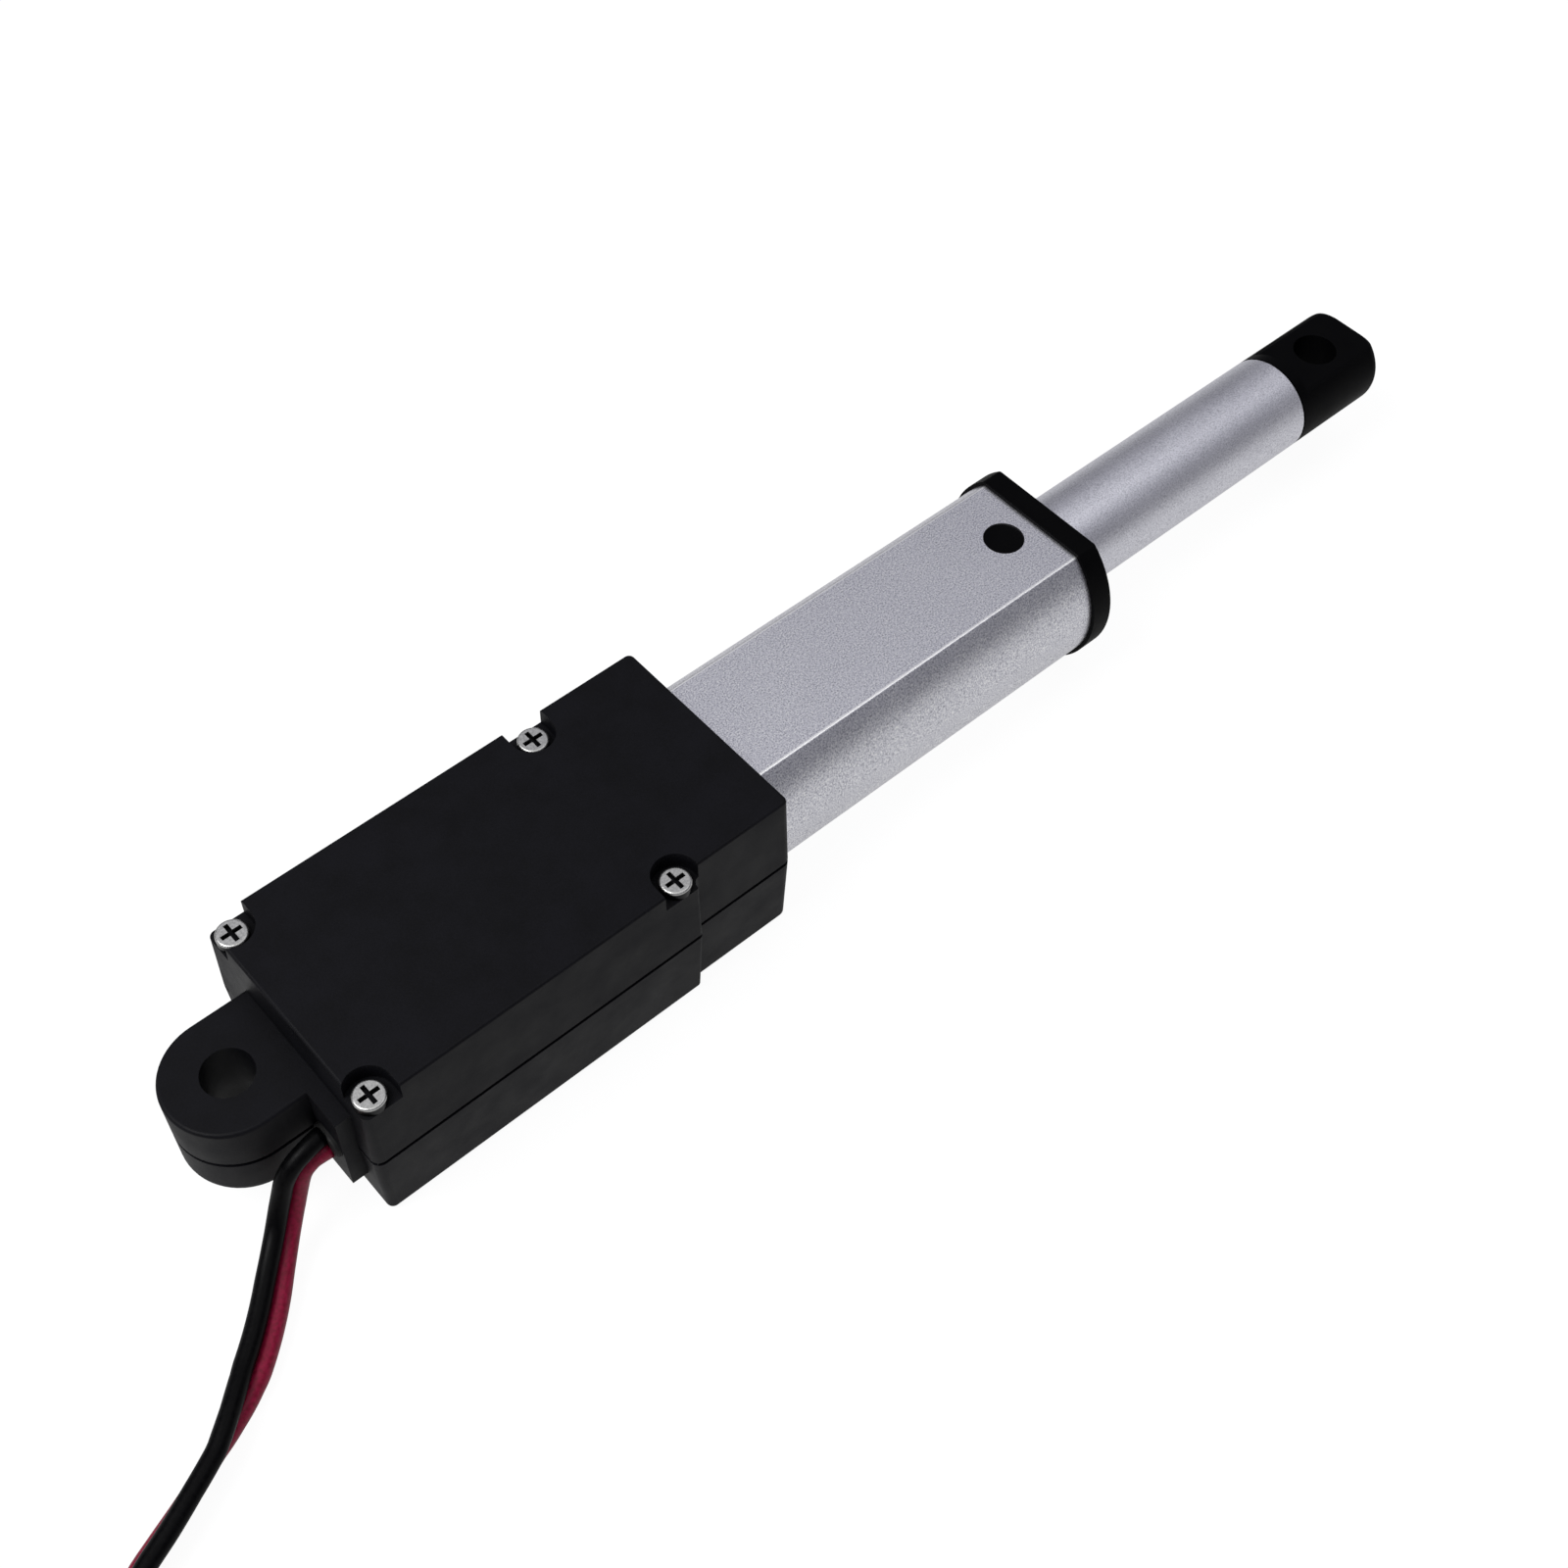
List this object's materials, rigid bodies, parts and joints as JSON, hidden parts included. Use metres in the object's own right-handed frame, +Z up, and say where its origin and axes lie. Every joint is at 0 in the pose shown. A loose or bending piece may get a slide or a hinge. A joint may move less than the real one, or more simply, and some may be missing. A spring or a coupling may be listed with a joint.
{
  "type": "electric linear actuator",
  "caption": "Miniature in-line linear actuator: two-shell motor housing with a pivot lug, flat-sided tube, extending rod with a drilled tip, and a twin lead.",
  "frame": {"origin": "middle of the rear pivot hole", "axes": "+X forward along the stroke, +Y left, +Z up; the housing lies on its underside"},
  "size_m": [0.1874, 0.0515, 0.0156],
  "materials": {
    "housing_plastic": "fine texture",
    "front_plastic": "satin",
    "tube_aluminium": "bead blasted",
    "rod_aluminium": "satin",
    "screw_steel": "bright",
    "lead_insulation": "satin, one red and one black conductor",
    "connector_plastic": "satin",
    "rubber": "matte",
    "steel": "ground",
    "gear_steel": "sintered",
    "brass": "satin",
    "copper": "enamelled",
    "carbon": "matte",
    "magnet": "matte",
    "acetal": "satin",
    "carrier_plastic": "satin",
    "board": "satin",
    "switch_plastic": "satin",
    "plunger_plastic": "satin"
  },
  "bodies": {
    "housing": {"upper_shell": "housing_plastic", "lower_shell": "housing_plastic", "shell_screws": "screw_steel", "cable_grommet": "rubber", "outer_tube": "tube_aluminium", "front_cap": "front_plastic", "rod_seal": "rubber", "bearing_outer_ring": "steel", "gearbox_rear_plate": "steel", "gearbox_front_plate": "steel", "gearbox_posts": "steel", "idler_pin": "steel", "motor_can": "steel", "motor_end_cap": "acetal", "motor_front_bush": "brass", "motor_magnets": "magnet", "motor_brushes": "carbon", "motor_terminals": "copper", "circuit_board": "board", "rear_limit_switch": "switch_plastic", "front_limit_switch": "switch_plastic", "board_diodes": "switch_plastic", "supply_wires": "lead_insulation", "motor_wires": "lead_insulation", "power_lead": "lead_insulation", "lead_coil": "lead_insulation", "lead_connector": "connector_plastic"},
    "rotor": {"motor_shaft": "steel", "motor_armature": "steel", "motor_windings": "copper", "commutator": "copper", "motor_pinion": "brass"},
    "gear_one": {"first_gear": "gear_steel"},
    "gear_two": {"second_gear": "gear_steel"},
    "gear_three": {"third_gear": "gear_steel"},
    "screw": {"lead_screw": "steel", "retaining_clip": "steel", "output_gear": "brass", "bearing_inner_ring": "steel"},
    "ball_set": {"bearing_balls": "steel", "bearing_cage": "brass"},
    "rod": {"rod_tube": "rod_aluminium", "rod_tip": "front_plastic", "nut_carrier": "carrier_plastic", "drive_nut": "acetal"},
    "rear_plunger": {"rear_switch_plunger": "plunger_plastic"},
    "front_plunger": {"front_switch_plunger": "plunger_plastic"}
  },
  "joints": [
    {"name": "motor_spin", "type": "hinge", "parent": "housing", "child": "rotor", "pos_m": [0, 0, 0], "axis": [1, 0, 0], "range_deg": [0, 358319]},
    {"name": "gear_one_spin", "type": "hinge", "parent": "housing", "child": "gear_one", "pos_m": [0, 0.0034, 0], "axis": [1, 0, 0], "range_deg": [-149301, 0]},
    {"name": "gear_two_spin", "type": "hinge", "parent": "housing", "child": "gear_two", "pos_m": [0, 0, 0], "axis": [1, 0, 0], "range_deg": [0, 62210]},
    {"name": "gear_three_spin", "type": "hinge", "parent": "housing", "child": "gear_three", "pos_m": [0, 0.0034, 0], "axis": [1, 0, 0], "range_deg": [-25922, 0]},
    {"name": "screw_spin", "type": "hinge", "parent": "housing", "child": "screw", "pos_m": [0, 0, 0], "axis": [1, 0, 0], "range_deg": [0, 10801]},
    {"name": "ball_set_spin", "type": "hinge", "parent": "housing", "child": "ball_set", "pos_m": [0, 0, 0], "axis": [1, 0, 0], "range_deg": [0, 4346]},
    {"name": "rod_slide", "type": "slide", "parent": "housing", "child": "rod", "axis": [1, 0, 0], "range_m": [-0.03, 0]},
    {"name": "rear_switch_press", "type": "slide", "parent": "housing", "child": "rear_plunger", "axis": [0, -1, 0], "range_m": [0, 0.0003], "stiffness_N_per_m": 50},
    {"name": "front_switch_press", "type": "slide", "parent": "housing", "child": "front_plunger", "axis": [0, -1, 0], "range_m": [0, 0.0003], "stiffness_N_per_m": 50}
  ],
  "couplings": [
    {"joint": "screw_spin", "follows": "rod_slide", "rad_per_m": -6283.2},
    {"joint": "ball_set_spin", "follows": "rod_slide", "rad_per_m": -2527.2},
    {"joint": "gear_three_spin", "follows": "rod_slide", "rad_per_m": 15080},
    {"joint": "gear_two_spin", "follows": "rod_slide", "rad_per_m": -36191},
    {"joint": "gear_one_spin", "follows": "rod_slide", "rad_per_m": 86859},
    {"joint": "motor_spin", "follows": "rod_slide", "rad_per_m": -208460}
  ]
}
